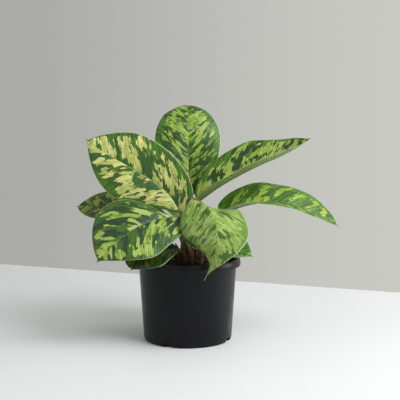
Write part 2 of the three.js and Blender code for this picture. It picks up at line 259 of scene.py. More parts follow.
class HOMALOMENA_PG_settings(bpy.types.PropertyGroup):
    """Sizes and colours of the plant, its pot and the stage."""

    leaves: CollectionProperty(
        type=HOMALOMENA_PG_leaf, name="Leaves", description="The finish of each leaf",
    )
    blade_thickness: length_property("Blade", "Thickness of a leaf blade", 0.55)
    vein_spacing: length_property("Vein spacing", "Distance between side veins", 8)
    rib_height: length_property("Rib", "How far the midrib stands out underneath", 1.3)
    rim_line: colour_property("Leaf edge", "Thin pale line round a blade", (168, 184, 128))
    midrib: colour_property("Midrib", "Midrib on the upper side", (116, 150, 62))
    underside: colour_property("Underside", "Duller colour of a blade's back", (122, 140, 86))
    stem: colour_property("Stem", "Upper stem", (96, 96, 48))
    stem_foot: colour_property("Stem foot", "Foot of a stem", (112, 84, 44))
    sheath: colour_property("Sheath", "Dry sheath", (104, 58, 34))
    pot: colour_property("Pot", "Black plastic", (7, 7, 11))
    soil: colour_property("Soil", "Damp potting mix", (26, 20, 15))
    grain: colour_property("Grains", "Pale grains in the soil", (150, 140, 122))
    table: colour_property("Table", "Plain pale table", (224, 227, 229))
    key_light: power_property("Key light", "Power of the large soft light", 24)
    fill_light: power_property("Fill light", "Power of the weaker soft light", 2.5)
    side_light: power_property("Side light", "Power of the soft light from the right", 9)


# ---- Shader helpers -----------------------------------------------------------------------


def node(tree, kind, inputs=None, **settings):
    """Adds a node. Each input is a value or another node's socket."""
    made = tree.nodes.new(kind)
    for key, value in settings.items():
        setattr(made, key, value)
    for key, value in (inputs or {}).items():
        if isinstance(value, bpy.types.NodeSocket):
            tree.links.new(value, made.inputs[key])
        else:
            made.inputs[key].default_value = value
    return made


def maths(tree, operation, a, b=0.0, c=0.0, clamp=False):
    made = node(tree, "ShaderNodeMath", {0: a, 1: b, 2: c}, operation=operation, use_clamp=clamp)
    return made.outputs[0]


def mixed(tree, factor, a, b, blend="MIX"):
    """Colour a turning into colour b."""
    colours = [c if isinstance(c, bpy.types.NodeSocket) else (*c[:3], 1) for c in (a, b)]
    made = node(
        tree, "ShaderNodeMix", {0: factor, 6: colours[0], 7: colours[1]},
        data_type="RGBA", blend_type=blend,
    )
    return made.outputs[2]


def ramped(tree, value, low, high, start=0.0, end=1.0):
    """A smooth step of value from low to high."""
    made = node(
        tree, "ShaderNodeMapRange",
        {"Value": value, "From Min": low, "From Max": high, "To Min": start, "To Max": end},
        interpolation_type="SMOOTHSTEP",
    )
    return made.outputs["Result"]


def vector(tree, x, y, z=0.0):
    return node(tree, "ShaderNodeCombineXYZ", {0: x, 1: y, 2: z}).outputs[0]


def noise(tree, place, scale, detail=2.0, roughness=0.5, distortion=0.0):
    made = node(
        tree, "ShaderNodeTexNoise",
        {"Vector": place, "Scale": scale, "Detail": detail, "Roughness": roughness,
         "Distortion": distortion},
    )
    return made.outputs["Fac"]


def new_group(name, inputs, outputs):
    """A shader node group with named sockets: returns it, its inputs and its output node."""
    group = bpy.data.node_groups.new(name, "ShaderNodeTree")
    for label, kind in inputs:
        group.interface.new_socket(name=label, in_out="INPUT", socket_type=kind)
    for label, kind in outputs:
        group.interface.new_socket(name=label, in_out="OUTPUT", socket_type=kind)
    entry = group.nodes.new("NodeGroupInput")
    leave = group.nodes.new("NodeGroupOutput")
    return group, entry.outputs, leave


def placed(tree, group, inputs):
    return node(tree, "ShaderNodeGroup", inputs, node_tree=group).outputs


def new_material(name):
    material = bpy.data.materials.new(name)
    material.use_nodes = True
    tree = material.node_tree
    tree.nodes.clear()
    shader = tree.nodes.new("ShaderNodeBsdfPrincipled")
    leave = tree.nodes.new("ShaderNodeOutputMaterial")
    tree.links.new(shader.outputs[0], leave.inputs["Surface"])
    return material, tree, shader


def bumped(tree, shader, height, strength, distance):
    bump = node(
        tree, "ShaderNodeBump", {"Height": height, "Strength": strength, "Distance": distance},
    )
    tree.links.new(bump.outputs[0], shader.inputs["Normal"])


FLOAT = "NodeSocketFloat"
VECTOR = "NodeSocketVector"


def mottle_group():
    """Blotches drawn out along the side veins, with torn ends, kept off the margin.

    Veins holds millimetres out from the midrib and along it; Edge is 0 at the midrib and 1 at
    the margin."""
    group, given, leave = new_group(
        "Leaf mottling",
        [("Veins", VECTOR), ("Edge", FLOAT), ("Cover", FLOAT), ("Blotch", FLOAT),
         ("Seed", FLOAT)],
        [("Pale", FLOAT), ("Middle", FLOAT), ("Heart", FLOAT), ("Fleck", FLOAT)],
    )
    split = node(group, "ShaderNodeSeparateXYZ", {0: given["Veins"]}).outputs
    side = maths(group, "MULTIPLY", maths(group, "SIGN", split[0]), 5.3)
    reach = maths(group, "DIVIDE", maths(group, "ABSOLUTE", split[0]), given["Blotch"])
    alongside = maths(group, "DIVIDE", split[1], given["Blotch"])
    depth = maths(group, "ADD", side, given["Seed"])

    def drawn(across, along, shift, detail=1.0, distortion=0.0):
        """Noise stretched along the veins, as deviation from its middle level."""
        x = maths(group, "MULTIPLY", reach, across)
        y = maths(group, "MULTIPLY", alongside, along)
        place = vector(group, x, y, maths(group, "ADD", depth, shift))
        return maths(group, "SUBTRACT", noise(group, place, 1.0, detail, 0.5, distortion), 0.5)

    def total(*parts):
        level = parts[0]
        for part in parts[1:]:
            level = maths(group, "ADD", level, part)
        return level

    def scaled(value, share):
        return maths(group, "MULTIPLY", value, share)

    broad = drawn(0.72, 1.05, 0.0, 1.0, 0.4)
    patch = drawn(1.5, 2.4, 7.0)
    teeth = drawn(3.0, 6.0, 13.0)
    torn = total(scaled(patch, 0.62), scaled(teeth, 0.28))
    rim = ramped(group, given["Edge"], 0.70, 0.97, 0.0, -0.26)
    level = total(broad, torn, rim)
    cut = maths(group, "MULTIPLY_ADD", given["Cover"], -0.34, 0.17)
    over = maths(group, "SUBTRACT", level, cut)
    pale = ramped(group, over, -0.007, 0.007)
    bright = total(drawn(0.9, 1.4, 19.0), scaled(torn, 0.6))
    bright = total(bright, ramped(group, given["Edge"], 0.45, 1.0, -0.05, 0.13))
    middle = ramped(group, bright, 0.0, 0.016)
    heart = ramped(group, total(drawn(0.9, 2.0, 31.0), scaled(torn, 0.5)), -0.02, 0.05)
    spots = total(drawn(2.2, 3.4, 43.0), scaled(teeth, 0.3))
    fleck = ramped(group, spots, 0.150, 0.165)
    for label, value in (("Pale", pale), ("Middle", middle), ("Heart", heart), ("Fleck", fleck)):
        group.links.new(value, leave.inputs[label])
    return group


def vein_group():
    """Midrib and side veins: masks for colour and a height for relief. Side runs past 1, so
    what it mixes saturates along each vein."""
    group, given, leave = new_group(
        "Leaf veins",
        [("Veins", VECTOR), ("Share", FLOAT), ("Spacing", FLOAT), ("Width", FLOAT)],
        [("Midrib", FLOAT), ("Side", FLOAT), ("Height", FLOAT)],
    )
    split = node(group, "ShaderNodeSeparateXYZ", {0: given["Veins"]}).outputs
    reach = maths(group, "ABSOLUTE", split[0])
    taper = ramped(group, given["Share"], 0.0, 1.0, 1.0, 0.35)
    width = maths(group, "MULTIPLY", given["Width"], taper)
    midrib = maths(group, "SUBTRACT", 1.0, maths(group, "DIVIDE", reach, width), clamp=True)
    midrib = ramped(group, midrib, 0.0, 0.55)

    def lines(count, sharpness):
        turn = maths(group, "MULTIPLY", split[1], 2 * math.pi * count)
        turn = maths(group, "DIVIDE", turn, given["Spacing"])
        wave = maths(group, "MULTIPLY_ADD", maths(group, "COSINE", turn), 0.5, 1.0)
        return maths(group, "POWER", wave, sharpness)

    side = lines(1, 8)
    height = maths(group, "MULTIPLY", side, -0.35)
    height = maths(group, "ADD", height, maths(group, "MULTIPLY", lines(6, 1), 0.12))
    for label, value in (("Midrib", midrib), ("Side", side), ("Height", height)):
        group.links.new(value, leave.inputs[label])
    return group


def grain_group():
    """Fine uneven grain: a mask for roughness and colour and a height for relief."""
    group, given, leave = new_group(
        "Surface grain",
        [("Place", VECTOR), ("Scale", FLOAT), ("Stretch", FLOAT)],
        [("Cloud", FLOAT), ("Fine", FLOAT)],
    )
    split = node(group, "ShaderNodeSeparateXYZ", {0: given["Place"]}).outputs
    drawn = vector(group, split[0], split[1], maths(group, "DIVIDE", split[2], given["Stretch"]))
    cloud = noise(group, drawn, maths(group, "MULTIPLY", given["Scale"], 0.12), 3.0, 0.6)
    fine = noise(group, drawn, given["Scale"], 3.0, 0.6)
    group.links.new(cloud, leave.inputs["Cloud"])
    group.links.new(fine, leave.inputs["Fine"])
    return group


def shared_group(name, make):
    return bpy.data.node_groups.get(name) or make()


# ---- Materials ----------------------------------------------------------------------------


def leaf_coordinates(tree):
    """Vein place in millimetres, distance to the edge and share of the length."""
    veins = node(tree, "ShaderNodeUVMap", uv_map="veins").outputs[0]
    veins = node(tree, "ShaderNodeVectorMath", {0: veins, 3: 100.0}, operation="SCALE")
    blade = node(tree, "ShaderNodeUVMap", uv_map="blade").outputs[0]
    split = node(tree, "ShaderNodeSeparateXYZ", {0: blade}).outputs
    edge = maths(tree, "ABSOLUTE", maths(tree, "MULTIPLY_ADD", split[0], 2.0, -1.0))
    return veins.outputs[0], edge, split[1]


def object_place(tree):
    return node(tree, "ShaderNodeTexCoord").outputs["Object"]


def surface_grain(tree, scale, stretch=1.0):
    group = shared_group("Surface grain", grain_group)
    inputs = {"Place": object_place(tree), "Scale": scale, "Stretch": stretch}
    return placed(tree, group, inputs)


def ramped_grey(tree, value, low, high):
    """A grey that runs from low to high as value goes from 0.3 to 0.7."""
    level = ramped(tree, value, 0.3, 0.7, low, high)
    return vector(tree, level, level, level)


def leaf_veins(tree, settings, veins, share, width):
    group = shared_group("Leaf veins", vein_group)
    spacing = settings.vein_spacing / MM
    inputs = {"Veins": veins, "Share": share, "Spacing": spacing, "Width": width}
    return placed(tree, group, inputs)


def mottled_colour(tree, leaf, veins, edge):
    """The blade's colour before its veins are drawn."""
    marks = placed(
        tree, shared_group("Leaf mottling", mottle_group),
        {"Veins": veins, "Edge": edge, "Cover": leaf.cover, "Blotch": leaf.blotch / MM,
         "Seed": leaf.seed},
    )
    ground = mixed(tree, marks["Middle"], leaf.dark, leaf.middle)
    blotch = mixed(tree, marks["Heart"], leaf.pale, leaf.cream)
    colour = mixed(tree, marks["Pale"], ground, blotch)
    return mixed(tree, maths(tree, "MULTIPLY", marks["Fleck"], 0.75), colour, leaf.dark)


def upper_material(leaf, settings):
    material, tree, shader = new_material(f"Blade {leaf.place.replace('_', ' ')}")
    veins, edge, share = leaf_coordinates(tree)
    colour = mottled_colour(tree, leaf, veins, edge)
    lines = leaf_veins(tree, settings, veins, share, 1.5)
    rib = maths(tree, "MULTIPLY", lines["Midrib"], leaf.rib)
    colour = mixed(tree, rib, colour, settings.midrib)
    colour = mixed(tree, ramped(tree, edge, 0.975, 0.992), colour, settings.rim_line)
    grain = surface_grain(tree, 900.0)
    colour = mixed(tree, 0.6, colour, ramped_grey(tree, grain["Cloud"], 0.84, 1.12), "MULTIPLY")
    tree.links.new(colour, shader.inputs["Base Color"])
    rough = ramped(tree, grain["Cloud"], 0.3, 0.7, 0.36, 0.46)
    tree.links.new(rough, shader.inputs["Roughness"])
    height = maths(tree, "ADD", lines["Height"], maths(tree, "MULTIPLY", grain["Fine"], 0.25))
    bumped(tree, shader, height, 0.22, 0.2 * MM)
    shader.inputs["Specular IOR Level"].default_value = 0.4
    return material


def under_material(leaf, settings):
    material, tree, shader = new_material(f"Underside {leaf.place.replace('_', ' ')}")
    veins, edge, share = leaf_coordinates(tree)
    colour = mottled_colour(tree, leaf, veins, edge)
    colour = mixed(tree, 0.86, colour, settings.underside)
    lines = leaf_veins(tree, settings, veins, share, 2.6)
    rib = mixed(tree, ramped(tree, share, 0.0, 0.5), settings.stem, settings.midrib)
    colour = mixed(tree, maths(tree, "MULTIPLY", lines["Side"], 0.25), colour, settings.midrib)
    colour = mixed(tree, maths(tree, "MULTIPLY", lines["Midrib"], 0.85), colour, rib)
    colour = mixed(tree, ramped(tree, edge, 0.972, 0.99), colour, settings.rim_line)
    tree.links.new(colour, shader.inputs["Base Color"])
    shader.inputs["Roughness"].default_value = 0.55
    bumped(tree, shader, lines["Height"], 0.6, 0.4 * MM)
    return material


def stem_material(settings):
    material, tree, shader = new_material("Stem")
    uv = node(tree, "ShaderNodeUVMap", uv_map="stem").outputs[0]
    split = node(tree, "ShaderNodeSeparateXYZ", {0: uv}).outputs
    grain = surface_grain(tree, 1400.0, 9.0)
    climb = maths(tree, "ADD", split[1], maths(tree, "MULTIPLY", grain["Cloud"], 0.5))
    colour = mixed(tree, ramped(tree, climb, 0.35, 0.9), settings.stem_foot, settings.stem)
    pale = screen(150, 140, 92)
    colour = mixed(tree, ramped(tree, grain["Fine"], 0.5, 0.75, 0.0, 0.55), colour, pale)
    tree.links.new(colour, shader.inputs["Base Color"])
    shader.inputs["Roughness"].default_value = 0.42
    bumped(tree, shader, grain["Fine"], 0.4, 0.3 * MM)
    return material


def sheath_material(settings):
    material, tree, shader = new_material("Dry sheath")
    grain = surface_grain(tree, 2000.0, 14.0)
    dark = screen(58, 30, 18)
    colour = mixed(tree, ramped(tree, grain["Fine"], 0.35, 0.7), dark, settings.sheath)
    faded = ramped(tree, grain["Cloud"], 0.5, 0.7, 0, 0.6)
    colour = mixed(tree, faded, colour, screen(168, 140, 96))
    tree.links.new(colour, shader.inputs["Base Color"])
    shader.inputs["Roughness"].default_value = 0.7
    bumped(tree, shader, grain["Fine"], 0.7, 0.4 * MM)
    return material


def pot_material(settings):
    material, tree, shader = new_material("Black nursery plastic")
    place = object_place(tree)
    grain = surface_grain(tree, 420.0)
    scuff = ramped(tree, noise(tree, place, 60.0, 6.0, 0.72), 0.60, 0.72)
    colour = mixed(tree, maths(tree, "MULTIPLY", scuff, 0.3), settings.pot, screen(40, 40, 46))
    colour = mixed(tree, 1.0, colour, ramped_grey(tree, grain["Cloud"], 0.85, 1.15), "MULTIPLY")
    tree.links.new(colour, shader.inputs["Base Color"])
    worn = maths(tree, "MULTIPLY", scuff, 0.12)
    rough = maths(tree, "ADD", ramped(tree, grain["Cloud"], 0.3, 0.7, 0.28, 0.38), worn)
    tree.links.new(rough, shader.inputs["Roughness"])
    bumped(tree, shader, grain["Fine"], 0.12, 0.15 * MM)
    shader.inputs["Specular IOR Level"].default_value = 0.2
    return material


def soil_material(settings, name, light):
    material, tree, shader = new_material(name)
    grain = surface_grain(tree, 1100.0)
    brown = mixed(tree, ramped(tree, grain["Fine"], 0.45, 0.7), light, screen(70, 52, 36))
    tree.links.new(brown, shader.inputs["Base Color"])
    shader.inputs["Roughness"].default_value = 0.9
    bumped(tree, shader, grain["Fine"], 0.9, 0.6 * MM)
    return material


def table_material(settings):
    material, tree, shader = new_material("Plain table")
    cloud = noise(tree, object_place(tree), 3.0, 3.0)
    colour = mixed(tree, 1.0, settings.table, ramped_grey(tree, cloud, 0.985, 1.01), "MULTIPLY")
    tree.links.new(colour, shader.inputs["Base Color"])
    shader.inputs["Roughness"].default_value = 0.6
    return material


# ---- Mesh helpers -------------------------------------------------------------------------


def add_object(name, mesh, materials, replaced=()):
    """Links a finished piece, smooth, riding on the plant's one body."""
    piece = bpy.data.objects.new(name, mesh)
    bpy.context.scene.collection.objects.link(piece)
    for material in materials:
        mesh.materials.append(material)
    mesh.polygons.foreach_set("use_smooth", [True] * len(mesh.polygons))
    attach(piece, BODY)
    if replaced:
        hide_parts(*replaced)
    return piece


def add_uv(mesh, name, per_vertex):
    """A UV map from one pair of values for each vertex."""
    layer = mesh.uv_layers.new(name=name)
    corners = np.empty(len(mesh.loops), dtype=np.int32)
    mesh.loops.foreach_get("vertex_index", corners)
    layer.data.foreach_set("uv", np.asarray(per_vertex, np.float32)[corners].ravel())


def ring_faces(rings, sides, start=0):
    """Quads between rings of a closed section, for rings given one after another."""
    faces = []
    for i in range(rings - 1):
        for k in range(sides):
            a = start + i * sides + k
            b = start + i * sides + (k + 1) % sides
            faces.append((a, b, b + sides, a + sides))
    return faces


def turned_mesh(name, profile, sides):
    """A closed lathe from (radius, height) points that start and end on the axis."""
    inner = profile[1:-1]
    angles = np.linspace(0, 2 * math.pi, sides, endpoint=False)
    points = [(0, 0, profile[0][1])]
    for radius, height in inner:
        points += [(radius * math.cos(a), radius * math.sin(a), height) for a in angles]
    points.append((0, 0, profile[-1][1]))
    faces = ring_faces(len(inner), sides, 1)
    last = len(points) - 1
    for k in range(sides):
        faces.append((0, 1 + (k + 1) % sides, 1 + k))
        ring = last - sides
        faces.append((last, ring + k, ring + (k + 1) % sides))
    mesh = bpy.data.meshes.new(name)
    mesh.from_pydata(points, [], faces)
    mesh.update()
    return mesh


def rounded(profile, radius, steps=4):
    """The profile with its inner corners rounded by small arcs."""
    points = [Vector(p) for p in profile]
    out = [tuple(points[0])]
    for before, corner, after in zip(points, points[1:], points[2:]):
        cut = min(radius, (before - corner).length * 0.45, (after - corner).length * 0.45)
        start = corner + (before - corner).normalized() * cut
        end = corner + (after - corner).normalized() * cut
        for i in range(steps + 1):
            u = i / steps
            out.append(tuple(start * (1 - u) ** 2 + corner * 2 * u * (1 - u) + end * u ** 2))
    out.append(tuple(points[-1]))
    return out


# ---- Leaf blades --------------------------------------------------------------------------

BLADE_ROWS = 110
BLADE_COLUMNS = 44
TAIL_START = 0.972  # where the drawn-out tip of a blade begins
VEIN_LEAN = 0.8  # how far a side vein runs forward for each millimetre outwards
VEIN_BEND = 0.002
PLEAT_HEIGHT = 0.05
GROOVE_DEPTH = 0.5
GROOVE_WIDTH = 1.8
WAVES = ((1.6, 1.3), (2.9, 0.8), (5.3, 0.35))  # waves along a blade and their height


def along(values, t):
    """Evenly spaced values read at each share t."""
    return np.interp(t, np.linspace(0, 1, len(values)), values)


def blade_axes(leaf, t):
    """Along, to the right of and up from the blade at each share t."""
    h, p, r = (np.radians(along(leaf[key], t)) for key in ("heading", "pitch", "roll"))
    zero = np.zeros_like(h)
    tangent = np.stack([np.cos(p) * np.cos(h), np.cos(p) * np.sin(h), np.sin(p)], -1)
    level = np.stack([np.sin(h), -np.cos(h), zero], -1)
    upright = np.cross(level, tangent)
    cos, sin = np.cos(r)[:, None], np.sin(r)[:, None]
    return tangent, level * cos + upright * sin, upright * cos - level * sin


def midrib_points(leaf, t):
    """Points of the midrib in millimetres, stepped along from the base."""
    middle = (t[1:] + t[:-1]) / 2
    tangent = blade_axes(leaf, middle)[0]
    steps = tangent * (leaf["length"] * np.diff(t))[:, None]
    start = np.array(leaf["base"], float)
    return np.vstack([start, start + np.cumsum(steps, axis=0)])


def fullness(leaf, t, side, tail):
    """The half width at share t as a share of the greatest, with a drawn-out tip."""
    u = np.clip(t / TAIL_START, 0, 1) if tail else t
    widest = leaf["widest"]
    rise = np.sin(np.pi / 2 * np.clip(u / widest, 0, 1)) ** leaf["shoulders"][side]
    rest = np.clip((u - widest) / (1 - widest), 0, 1)
    fall = np.clip(np.cos(np.pi / 2 * rest), 0, 1) ** leaf["point"][side]
    full = np.where(u < widest, rise, fall)
    if tail:
        point = 0.17 * np.clip((1 - t) / 0.1, 0, 1) ** 1.25
        full = (full ** 4 + (point * np.clip((t - 0.6) / 0.3, 0, 1)) ** 4) ** 0.25
    return full


def ripple(leaf_seed, t, reach, side):
    """Gentle waves of a blade, in millimetres, growing towards its margin."""
    pick = random.Random(leaf_seed * 7 + side)
    waves = np.zeros_like(t * reach)
    for count, height in WAVES:
        phase = pick.uniform(0, 2 * math.pi)
        waves += height * np.sin(2 * np.pi * count * t + phase)
    return waves * reach ** 1.6 * np.sin(np.pi * np.clip(t, 0, 1)) ** 0.5


def blade_grid(leaf, seed, settings, tail=True, rows=BLADE_ROWS, columns=BLADE_COLUMNS):
    """The blade's middle surface in millimetres, with its vein and blade coordinates."""
    t = np.linspace(0, 1, rows + 1)
    q = np.linspace(-1, 1, columns + 1)
    s = np.sign(q) * np.abs(q) ** 1.5
    rib = midrib_points(leaf, t)
    tangent, right, up = blade_axes(leaf, t)
    curl = np.radians(along(leaf["curl"], t))[:, None]
    grid = np.empty((rows + 1, columns + 1, 3))
    veins = np.empty((rows + 1, columns + 1, 2))
    for side, sign, key in ((0, -1, "fold_left"), (1, 1, "fold_right")):
        mask = s <= 0 if side == 0 else s >= 0
        reach = np.abs(s[mask])[None, :]
        full = fullness(leaf, t, side, tail)
        least = 1.2 * (1 - t) + 0.15
        half = np.maximum(leaf["halves"][side] * full, least)[:, None]
        fold = np.radians(along(leaf[key], t))[:, None]
        across = (np.sin(fold + curl * reach) - np.sin(fold)) / curl * half
        rise = (np.cos(fold) - np.cos(fold + curl * reach)) / curl * half
        back = leaf["lobe"] * leaf["length"] * reach ** 1.5 * ((1 - t) ** 3 * full)[:, None]
        out = reach * half
        spacing = settings.vein_spacing / MM
        along_vein = t[:, None] * leaf["length"] - back - VEIN_LEAN * out - VEIN_BEND * out ** 2
        turn = 2 * np.pi * along_vein / spacing
        pleat = PLEAT_HEIGHT * np.cos(turn) * np.sin(np.pi * reach ** 0.7)
        groove = -GROOVE_DEPTH * np.exp(-((out / GROOVE_WIDTH) ** 2)) * (1 - t[:, None]) ** 0.5
        lift = rise + ripple(seed, t[:, None], reach, side) + pleat + groove
        grid[:, mask] = (
            rib[:, None]
            + right[:, None] * (sign * across)[..., None]
            + up[:, None] * lift[..., None]
            - tangent[:, None] * back[..., None]
        )
        veins[:, mask, 0] = sign * out
        veins[:, mask, 1] = along_vein
    blade = np.stack(np.broadcast_arrays(s[None, :] * 0.5 + 0.5, t[:, None]), -1)
    return grid, veins, blade


def grid_normals(grid):
    ahead = np.gradient(grid, axis=0)
    over = np.gradient(grid, axis=1)
    normal = np.cross(over, ahead)
    return normal / np.maximum(np.linalg.norm(normal, axis=-1, keepdims=True), 1e-9)


def shell_mesh(name, grid, normal, above, below, uvs):
    """A closed thin shell: an upper and a lower sheet and the edge between them."""
    rows, columns = grid.shape[:2]
    sheets = np.stack([grid + normal * above[..., None], grid - normal * below[..., None]])
    count = rows * columns
    index = np.arange(count).reshape(rows, columns)
    a, b, c, d = index[:-1, :-1], index[:-1, 1:], index[1:, 1:], index[1:, :-1]
    upper = np.stack([a, b, c, d], -1).reshape(-1, 4)
    lower = np.stack([a, d, c, b], -1).reshape(-1, 4) + count
    loop = np.concatenate([index[:-1, 0], index[-1, :-1], index[:0:-1, -1], index[0, :0:-1]])
    ahead = np.roll(loop, -1)
    edge = np.stack([loop, ahead, ahead + count, loop + count], -1)
    faces = np.concatenate([upper, lower, edge])
    mesh = bpy.data.meshes.new(name)
    mesh.from_pydata((sheets.reshape(-1, 3) * MM).tolist(), [], faces.tolist())
    kinds = np.zeros(len(faces), np.int32)
    kinds[len(upper):len(upper) + len(lower)] = 1
    mesh.polygons.foreach_set("material_index", kinds)
    for label, values in uvs.items():
        flat = values.reshape(-1, 2)
        add_uv(mesh, label, np.concatenate([flat, flat]))
    mesh.update()
    return mesh


def blade_mesh(place, leaf, seed, settings):
    grid, veins, blade = blade_grid(leaf, seed, settings)
    normal = grid_normals(grid)
    t = blade[..., 1]
    out = np.abs(veins[..., 0])
    half = settings.blade_thickness / MM / 2
    edge = 1 - 0.45 * np.abs(blade[..., 0] * 2 - 1) ** 6
    width = 2.0 - 1.2 * t
    rib = settings.rib_height / MM * (1 - t) ** 0.8 * np.exp(-((out / width) ** 2))
    spacing = settings.vein_spacing / MM
    side_vein = (0.5 + 0.5 * np.cos(2 * np.pi * veins[..., 1] / spacing)) ** 6
    reach = np.abs(blade[..., 0] * 2 - 1)
    side_vein *= 0.22 * np.clip(1 - reach, 0, 1) ** 0.5
    below = half * edge + rib + side_vein
    uvs = {"veins": veins / 100, "blade": blade}
    return shell_mesh(f"blade_{place}", grid, normal, half * edge, below, uvs)


# ---- Stems --------------------------------------------------------------------------------

STEM_RINGS = 44
STEM_SIDES = 20
STEM_FOOT_RADIUS = 3.3
STEM_HEAD_RADIUS = 2.0


def bezier(points, u):
    p = [np.array(q, float) for q in points]
    u = u[:, None]
    return (
        p[0] * (1 - u) ** 3 + p[1] * 3 * u * (1 - u) ** 2 + p[2] * 3 * u ** 2 * (1 - u)
        + p[3] * u ** 3
    )


def crown_point(ring, degrees, z):
    angle = math.radians(degrees)
    return (
        CROWN_X / MM + ring * math.cos(angle), CROWN_Y / MM + ring * math.sin(angle), z,
    )


def stem_path(leaf):
    """The stem's centre line in millimetres, running on under the foot of the midrib."""
    foot = np.array(crown_point(*leaf["foot"], CROWN_HIGH.z / MM - 2))
    tangent, _, up = (axis[0] for axis in blade_axes(leaf, np.array([0.0, 1.0])))
    head = np.array(leaf["base"], float)
    span = np.linalg.norm(head - foot)
    rise = foot + np.array([0, 0, span * 0.4])
    points = bezier([foot, rise, head - tangent * span * 0.22, head], np.linspace(0, 1, STEM_RINGS))
    t = np.linspace(0, 0.16, 9)
    under = midrib_points(leaf, t)[1:] - blade_axes(leaf, t)[2][1:] * 1.1
    return np.vstack([points - up * np.linspace(0, 1.1, len(points))[:, None] ** 3, under])


def tube_mesh(name, path, radius, inward, channel, twist=0.0, seam=0.0):
    """A closed rod along a path. channel hollows the side that faces inward."""
    tangent = np.gradient(path, axis=0)
    tangent /= np.linalg.norm(tangent, axis=1, keepdims=True)
    side = inward - np.sum(inward * tangent, 1, keepdims=True) * tangent
    side /= np.linalg.norm(side, axis=1, keepdims=True)
    other = np.cross(tangent, side)
    angles = np.linspace(0, 2 * math.pi, STEM_SIDES, endpoint=False)
    share = np.linspace(0, 1, len(path))
    points = []
    uvs = []
    for i, centre in enumerate(path):
        turn = angles + twist * share[i]
        wrapped = np.where(angles > np.pi, angles - 2 * np.pi, angles)
        hollow = 1 - channel[i] * np.exp(-((wrapped / 0.55) ** 2))
        rolled = 1 + seam * angles / (2 * np.pi)
        r = (radius[i] * hollow * rolled)[:, None]
        section = side[i] * np.cos(turn)[:, None] + other[i] * np.sin(turn)[:, None]
        points.append(centre + section * r)
        uvs.append(np.stack([angles / (2 * math.pi), np.full(STEM_SIDES, share[i])], -1))
    faces = ring_faces(len(path), STEM_SIDES)
    count = len(path) * STEM_SIDES
    faces.append(tuple(reversed(range(STEM_SIDES))))
    faces.append(tuple(range(count - STEM_SIDES, count)))
    mesh = bpy.data.meshes.new(name)
    mesh.from_pydata((np.vstack(points) * MM).tolist(), [], faces)
    add_uv(mesh, "stem", np.vstack(uvs))
    mesh.update()
    return mesh


def stem_mesh(place, leaf):
    path = stem_path(leaf)
    share = np.linspace(0, 1, len(path))
    radius = STEM_FOOT_RADIUS + (STEM_HEAD_RADIUS - STEM_FOOT_RADIUS) * np.clip(share / 0.8, 0, 1)
    radius *= 1 - 0.55 * np.clip((share - 0.84) / 0.16, 0, 1)
    radius += 0.35 * np.exp(-(((share - 0.8) / 0.05) ** 2))
    axis = np.array(crown_point(0, 0, 0))
    towards = axis - path
    towards[:, 2] = 0
    length = np.maximum(np.linalg.norm(towards, axis=1, keepdims=True), 1e-6)
    up = blade_axes(leaf, np.array([0.0, 1.0]))[2][0]
    blend = (share ** 1.5)[:, None]
    inward = towards / length * (1 - blend) + up * blend
    channel = 0.10 + 0.45 * np.exp(-((share / 0.35) ** 2))
    return tube_mesh(f"stalk_{place}", path, radius, inward, channel)


# ---- Operators ----------------------------------------------------------------------------


class HOMALOMENA_OT_pot(bpy.types.Operator):
    """Build the black nursery pot with its turned-over lip and drainage notches"""

    bl_idname = "homalomena.pot"
    bl_label = "Pot"

    def execute(self, context):
        settings = context.scene.homalomena
        lip_foot = POT_HEIGHT - RIM_BAND
        lip_root = POT_HEIGHT - 3 * WALL

        def wall(z, inset=0.0):
            return BASE_RADIUS + (WALL_TOP_RADIUS - BASE_RADIUS) * z / POT_HEIGHT - inset

        profile = rounded(
            [
                (0, 0), (BASE_RADIUS - 3 * MM, 0), (BASE_RADIUS - 0.4 * MM, 0.6 * MM),
                (wall(4 * MM), 4 * MM), (wall(lip_foot / 2), lip_foot / 2),
                (wall(lip_foot), lip_foot), (wall(lip_root), lip_root),
                (RIM_RADIUS - WALL - 0.4 * MM, lip_root), (RIM_RADIUS - WALL, lip_foot),
                (RIM_RADIUS - 0.2 * MM, lip_foot), (RIM_RADIUS, lip_foot + 4.5 * MM),
                (RIM_RADIUS - 1.2 * MM, POT_HEIGHT), (wall(POT_HEIGHT, WALL) + 2 * MM, POT_HEIGHT),
                (wall(lip_root, WALL), lip_root), (wall(POT_FLOOR, WALL), POT_FLOOR),
                (0, POT_FLOOR),
            ],
            1.1 * MM,
        )
        mesh = turned_mesh("pot_shell", profile, 144)
        pot = add_object("pot_shell", mesh, [pot_material(settings)], ["pot"])
        for k in range(4):
            self.cut_notch(context, pot, math.radians(NOTCH_FIRST_ANGLE + 90 * k))
        return {"FINISHED"}

    def cut_notch(self, context, pot, angle):
        """Cuts one rounded notch through the foot of the wall."""
        cutter_mesh = bpy.data.meshes.new("notch")
        shape = bmesh.new()
        bmesh.ops.create_cube(shape, size=1)
        bmesh.ops.scale(shape, vec=(18 * MM, NOTCH_WIDTH, 2 * NOTCH_TOP), verts=shape.verts)
        long_edges = [e for e in shape.edges if abs(e.verts[0].co.x - e.verts[1].co.x) > 1e-6]
        bmesh.ops.bevel(
            shape, geom=long_edges, offset=2 * MM, segments=4, affect="EDGES", profile=0.5,
        )
        turn = Matrix.Rotation(angle, 4, "Z") @ Matrix.Translation((BASE_RADIUS, 0, 0))
        bmesh.ops.transform(shape, matrix=turn, verts=shape.verts)
        shape.to_mesh(cutter_mesh)
        shape.free()
        cutter = bpy.data.objects.new("notch", cutter_mesh)
        context.scene.collection.objects.link(cutter)
        cut = pot.modifiers.new("notch", "BOOLEAN")
        cut.operation = "DIFFERENCE"
        cut.solver = "EXACT"
        cut.object = cutter
        with context.temp_override(object=pot, active_object=pot):
            bpy.ops.object.modifier_apply(modifier=cut.name)
        bpy.data.objects.remove(cutter)


